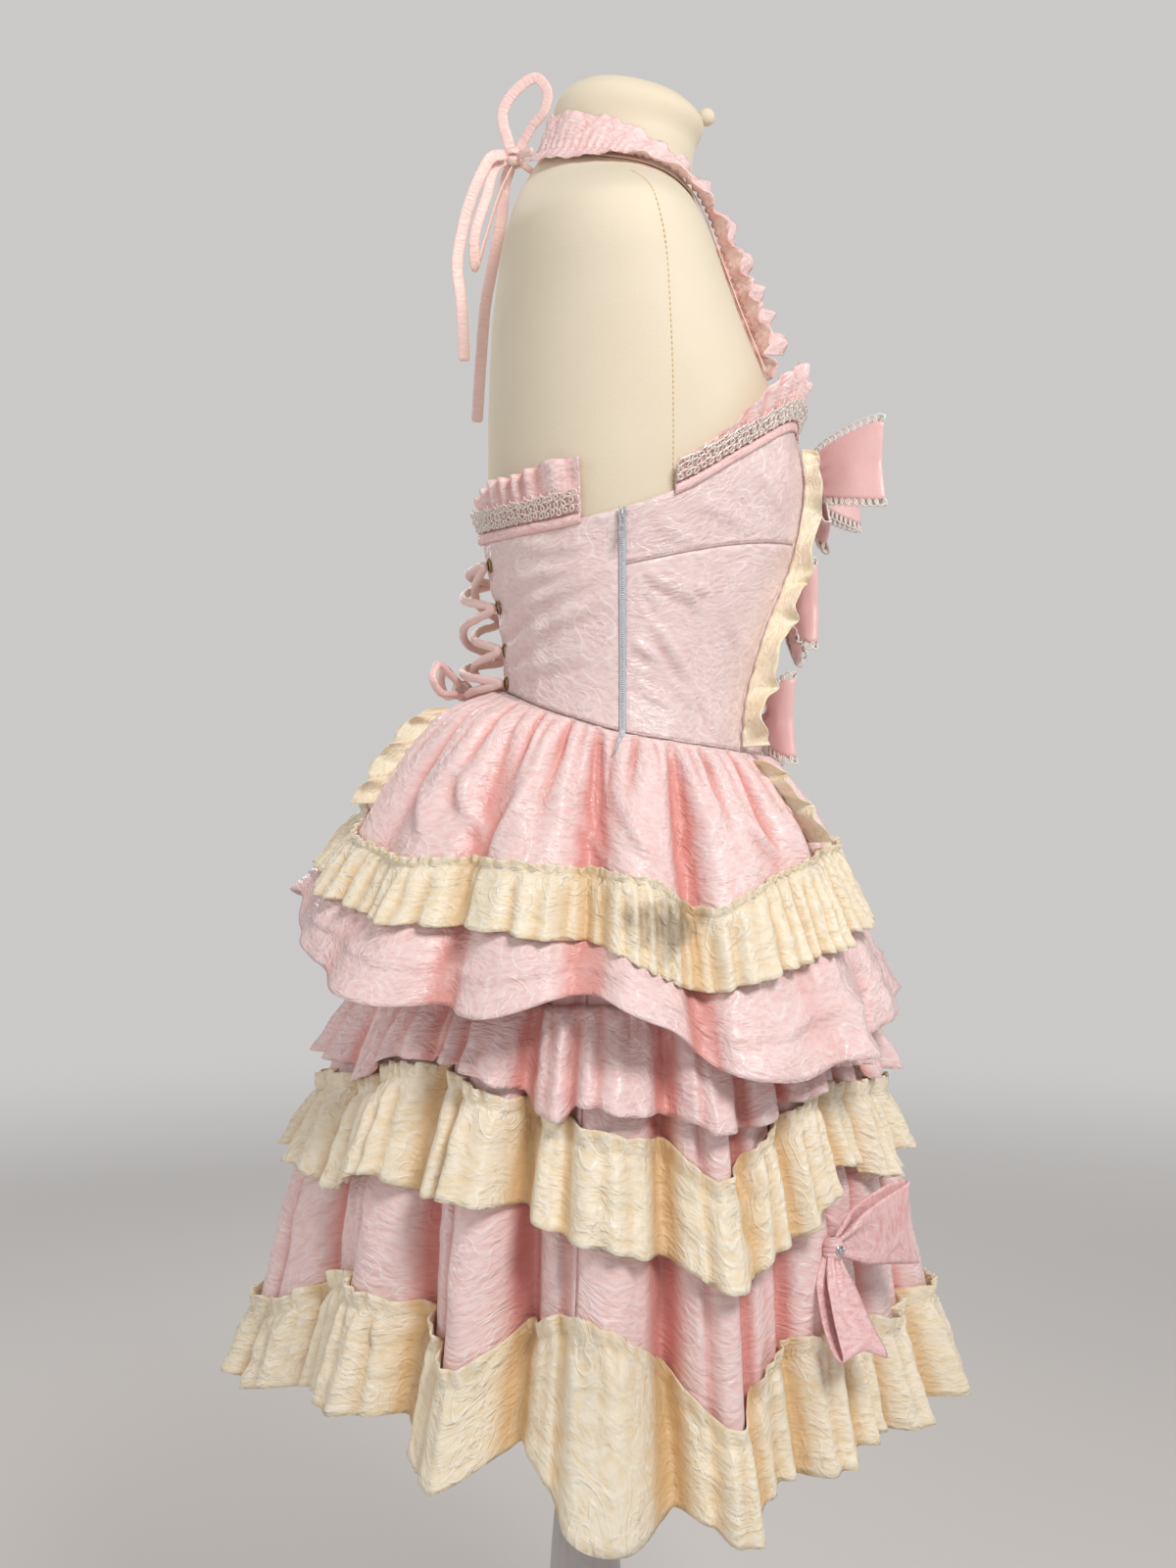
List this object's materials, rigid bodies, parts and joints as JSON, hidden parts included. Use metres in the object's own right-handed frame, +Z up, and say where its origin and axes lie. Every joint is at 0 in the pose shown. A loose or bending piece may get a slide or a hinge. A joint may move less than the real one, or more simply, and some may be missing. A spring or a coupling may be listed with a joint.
{
  "type": "corset tutu dress on a dress form",
  "caption": "Corset party dress with back lacing, side zip, halter frill, gathered overskirt and tiered ruffled skirt, worn on a limbless dress form with a pole stand",
  "frame": {"origin": "on the floor, at the centre of the stand's base, under the pole", "axes": "+Z up, the wearer faces -Y, the wearer's right is -X and left is +X"},
  "size_m": [0.55, 0.5649, 1.5017],
  "materials": {
    "jersey": "cream stretch jersey, matt",
    "stand": "light grey, satin",
    "pink_jacquard": "pink tone-on-tone rose jacquard, soft sheen",
    "pink_satin": "pink satin",
    "tie_cloth": "pink padded cord and ties",
    "cream_jacquard": "cream crinkled jacquard",
    "silver_lace": "silver metallic lace",
    "zip_tape": "grey-blue coil zip",
    "zip_metal": "zinc slider and tab",
    "eyelet_brass": "antique brass"
  },
  "bodies": {
    "dress_on_form": {"form_torso": "jersey", "form_knob": "jersey", "form_pole": "stand", "form_base": "stand", "bodice_front_centre": "pink_jacquard", "overskirt": "pink_jacquard", "overskirt_flounce": "pink_jacquard", "skirt_front": "pink_jacquard", "skirt_back": "pink_jacquard", "skirt_frill_pink": "pink_jacquard", "bodice_cup_right": "pink_jacquard", "bodice_cup_left": "pink_jacquard", "bodice_side_front_right": "pink_jacquard", "bodice_side_front_left": "pink_jacquard", "bodice_back_right": "pink_jacquard", "bodice_back_left": "pink_jacquard", "neck_frill_front": "pink_satin", "neck_binding_front": "pink_satin", "bow_top": "pink_satin", "bow_middle": "pink_satin", "bow_bottom": "pink_satin", "neck_frill_back_right": "pink_satin", "neck_frill_back_left": "pink_satin", "neck_binding_back_right": "pink_satin", "neck_binding_back_left": "pink_satin", "strap_right": "pink_satin", "strap_left": "pink_satin", "strap_frill_right": "pink_satin", "strap_frill_left": "pink_satin", "skirt_bow_right": "pink_satin", "skirt_bow_left": "pink_satin", "back_lace": "tie_cloth", "back_lace_bow": "tie_cloth", "halter_knot": "tie_cloth", "halter_tail_right": "tie_cloth", "halter_tail_left": "tie_cloth", "overskirt_band": "cream_jacquard", "skirt_frill_cream": "cream_jacquard", "hem_frill_cream": "cream_jacquard", "front_frill_right": "cream_jacquard", "front_frill_left": "cream_jacquard", "overskirt_front_frill_right": "cream_jacquard", "overskirt_front_frill_left": "cream_jacquard", "overskirt_back_frill_right": "cream_jacquard", "overskirt_back_frill_left": "cream_jacquard", "neck_lace_front": "silver_lace", "neck_lace_back_right": "silver_lace", "neck_lace_back_left": "silver_lace", "zip_chain": "zip_tape", "zip_slider": "zip_metal", "eyelet_right_1": "eyelet_brass", "eyelet_right_2": "eyelet_brass", "eyelet_right_3": "eyelet_brass", "eyelet_right_4": "eyelet_brass", "eyelet_left_1": "eyelet_brass", "eyelet_left_2": "eyelet_brass", "eyelet_left_3": "eyelet_brass", "eyelet_left_4": "eyelet_brass"},
    "zip_tab": {"zip_pull": "zip_metal"}
  },
  "joints": [
    {"name": "zip_tab_hinge", "type": "hinge", "parent": "dress_on_form", "child": "zip_tab", "pos_m": [-0.14886, -0.02499, 1.149], "axis": [0, 1, 0], "range_deg": [0, 120]}
  ]
}
